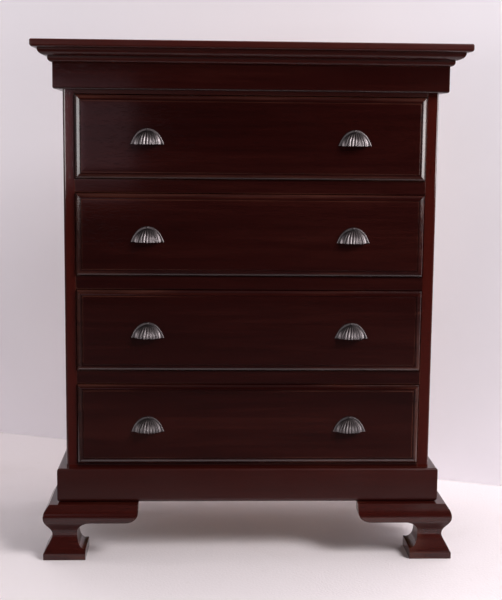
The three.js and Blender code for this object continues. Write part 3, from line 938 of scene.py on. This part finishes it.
def tails(name, body, outer_x, start_y, depth, low_z, high_z, material):
    """Rows of dovetails on both outer sides of a drawer box, wide at their front."""
    bm = bmesh.new()
    pitch = (high_z - low_z) / tail_count
    for sign in (-1, 1):
        for index in range(tail_count):
            middle = low_z + pitch * (index + 0.5)
            half = pitch * tail_share / 2
            low = Vector((outer_x - tail_thickness, start_y, middle - half))
            high = Vector((outer_x + tail_proud, start_y + depth, middle + half))
            for vert in box_of(bm, low, high):
                vert.co.x *= sign
                if vert.co.y < start_y + depth / 2:
                    vert.co.z = middle + tail_spread * (vert.co.z - middle)
    bmesh.ops.recalc_face_normals(bm, faces=bm.faces)
    finish_piece(bm, name, material, body)

print("tails in a row:", tail_count)

# %% [markdown]
# Round nuts on washers hold the pulls from inside the front. With them each drawer is complete:
# four plain boards, two rows of joints and the nuts.

# %% Drawer boxes
nut_spacing = 0.054
nut_lift = 0.009
nut_radius = 0.0040
nut_height = 0.0042
washer_radius = 0.0060
washer_thickness = 0.0010
washer_sides = 24


def nuts(number):
    """The round nuts that hold the pulls, on the inner face of the drawer front."""
    bm = bmesh.new()
    inner_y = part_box(f"drawer_{number}_front")[1].y
    for side in ("left", "right"):
        low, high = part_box(f"pull_{number}_{side}")
        for sign in (-1, 1):
            across = (low.x + high.x) / 2 + sign * nut_spacing / 2
            place = Vector((across, inner_y, low.z + nut_lift))
            dome(bm, place, nut_radius, nut_height, "y")
            made = bmesh.ops.create_cone(
                bm, cap_ends=True, segments=washer_sides, radius1=washer_radius,
                radius2=washer_radius, depth=2 * washer_thickness,
            )["verts"]
            bmesh.ops.rotate(bm, verts=made, matrix=Matrix.Rotation(math.pi / 2, 3, "X"))
            bmesh.ops.translate(bm, verts=made, vec=place)
    finish_piece(bm, f"drawer_{number}_nuts", steel, f"drawer_{number}")


for number in (1, 2, 3, 4):
    body = f"drawer_{number}"
    for part, axis in (("left", "y"), ("right", "y"), ("back", "x"), ("bottom", "x")):
        node = f"{body}_{part}"
        eased_board(node, plain_wood_for[axis], body, plain_ease)
    side_low, side_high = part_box(body + "_right")
    front_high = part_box(body + "_front")[1]
    rear_low, rear_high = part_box(body + "_back")
    tails(
        body + "_front_tails", body, front_high.x, front_high.y - tail_depth, tail_depth,
        side_low.z, side_high.z, plain_wood_for["y"],
    )
    tails(
        body + "_back_pins", body, side_high.x, rear_low.y, rear_high.y - rear_low.y,
        rear_low.z, rear_high.z, end_grain,
    )
    nuts(number)
print("drawer boxes dressed")

# %% [markdown]
# ## Pulls
# Each pull is a half shell cast in one piece: a smooth band lies on the drawer, a ribbed hood
# swells out of it, open below for the fingers, and a small bead sits where the ribs meet. The
# hood starts as a quarter of a sphere whose vertices are drawn in along the valleys.

# %% Hood
pull_low, pull_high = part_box("pull_1_left")
toe_reach = 0.0012
pull_half_width = (pull_high.x - pull_low.x) / 2 + toe_reach
pull_height = pull_high.z - pull_low.z
pull_depth = pull_high.y - pull_low.y
hood_wall = 0.0015
hood_rings = 22
flute_count = 11
flute_depth = 0.14
flute_steps = 8
plane_tolerance = 0.0001


def hood(bm, half_width, depth, height, fluting):
    """A quarter of an ellipsoid over the drawer front, with its ribs running down from the top."""
    around = 2 * flute_count * flute_steps
    made = bmesh.ops.create_uvsphere(bm, u_segments=around, v_segments=2 * hood_rings, radius=1)
    unwanted = [
        vert for vert in made["verts"]
        if vert.co.y > plane_tolerance or vert.co.z < -plane_tolerance
    ]
    bmesh.ops.delete(bm, geom=unwanted, context="VERTS")
    for vert in bm.verts:
        angle = math.atan2(vert.co.y, vert.co.x)
        outward = math.hypot(vert.co.x, vert.co.y)
        valley = 1 - abs(math.sin(flute_count * angle))
        draw_in = 1 - fluting * valley * outward
        vert.co.x *= half_width * draw_in
        vert.co.y *= depth * draw_in
        vert.co.z *= height
    bmesh.ops.recalc_face_normals(bm, faces=bm.faces)
    if sum(face.normal.y for face in bm.faces) > 0:
        bmesh.ops.reverse_faces(bm, faces=bm.faces)
    bmesh.ops.solidify(bm, geom=bm.faces[:], thickness=hood_wall)

print("ribs:", flute_count)

# %% [markdown]
# The band is a flat rim between two half ovals. An oval is spun from one vertex, and the outer
# one spreads at its feet, as the toes of the shell do. The flat rim is then pulled forwards to
# its thickness, sloped along its outer edge and eased everywhere else.

# %% Band
rim_width = 0.0080
rim_top = 0.0050
rim_thickness = 0.0026
rim_slope = 0.0019
rim_slope_steps = 4
rim_ease = 0.0006
rim_steps = 48
rim_flare = 0.12


def half_oval(bm, half_width, height, flare):
    """Half an oval's edges. The flare is the share of its width that its feet spread."""
    start = bm.verts.new((1, 0, 0))
    known = set(bm.verts)
    bmesh.ops.spin(
        bm, geom=[start], cent=(0, 0, 0), axis=(0, -1, 0), angle=math.pi, steps=rim_steps,
    )
    made = [start] + [vert for vert in bm.verts if vert not in known]
    for vert in made:
        spread = math.copysign(flare * (1 - vert.co.z) ** 3, vert.co.x)
        across = half_width * ((1 - flare) * vert.co.x + spread)
        vert.co = Vector((across, 0, height * vert.co.z))
    return list(dict.fromkeys(edge for vert in made for edge in vert.link_edges))


def band(bm, half_width, height):
    """The rim: two half ovals bridged, pulled forwards, then sloped outside and eased inside."""
    inner_half_width = half_width - rim_width - hood_wall
    outer = half_oval(bm, half_width, height, rim_flare)
    inner = half_oval(bm, inner_half_width, height - rim_top - hood_wall, 0)
    bridged = bmesh.ops.bridge_loops(bm, edges=outer + inner)["faces"]
    back_outer = {vert for edge in outer for vert in edge.verts}
    grown = bmesh.ops.extrude_face_region(bm, geom=bridged)["geom"]
    moved = {item for item in grown if isinstance(item, bmesh.types.BMVert)}
    bmesh.ops.translate(bm, verts=list(moved), vec=(0, -rim_thickness, 0))
    bmesh.ops.recalc_face_normals(bm, faces=bm.faces)
    touching = {edge for vert in back_outer for edge in vert.link_edges}
    front_outer = {vert for edge in touching for vert in edge.verts if vert in moved}
    sloped = [edge for edge in bm.edges if all(vert in front_outer for vert in edge.verts)]
    round_off(bm, sloped, rim_slope, rim_slope_steps)
    sharp = [edge for edge in bm.edges if edge.calc_face_angle(0) > sharp_angle]
    round_off(bm, sharp, rim_ease)

print("band:", rim_width * 1000, "mm wide,", rim_thickness * 1000, "mm thick")

# %% [markdown]
# Hood, band and bead are three closed shells that overlap, gathered into one mesh. The mesh is
# built at the origin and moved onto its drawer front, so its object needs no place of its own.

# %% Cast pulls
bead_radius = 0.0025
bead_sides = 20
bead_rings = 12


def bead(bm, radius, place):
    made = bmesh.ops.create_uvsphere(
        bm, u_segments=bead_sides, v_segments=bead_rings, radius=radius,
    )["verts"]
    bmesh.ops.translate(bm, verts=made, vec=place)


def pull(number, side):
    node = f"pull_{number}_{side}"
    low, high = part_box(node)
    hood_height = pull_height - rim_top
    bead_place = (0, -rim_thickness, pull_height - rim_top / 2)
    carrier = bpy.data.meshes.new("pull_parts")
    gathered = bmesh.new()
    for shape, *measures in (
        (hood, pull_half_width - rim_width, pull_depth, hood_height, flute_depth),
        (band, pull_half_width, pull_height),
        (bead, bead_radius, bead_place),
    ):
        part = bmesh.new()
        shape(part, *measures)
        part.to_mesh(carrier)
        part.free()
        gathered.from_mesh(carrier)
    bpy.data.meshes.remove(carrier)
    place = ((low.x + high.x) / 2, high.y, low.z)
    bmesh.ops.translate(gathered, verts=gathered.verts, vec=place)
    finish_piece(gathered, node + "_cast", pewter, f"drawer_{number}", [node])


for number in (1, 2, 3, 4):
    for side in ("left", "right"):
        pull(number, side)
print("pull:", round(pull_half_width * 2000), "by", round(pull_height * 1000), "mm")
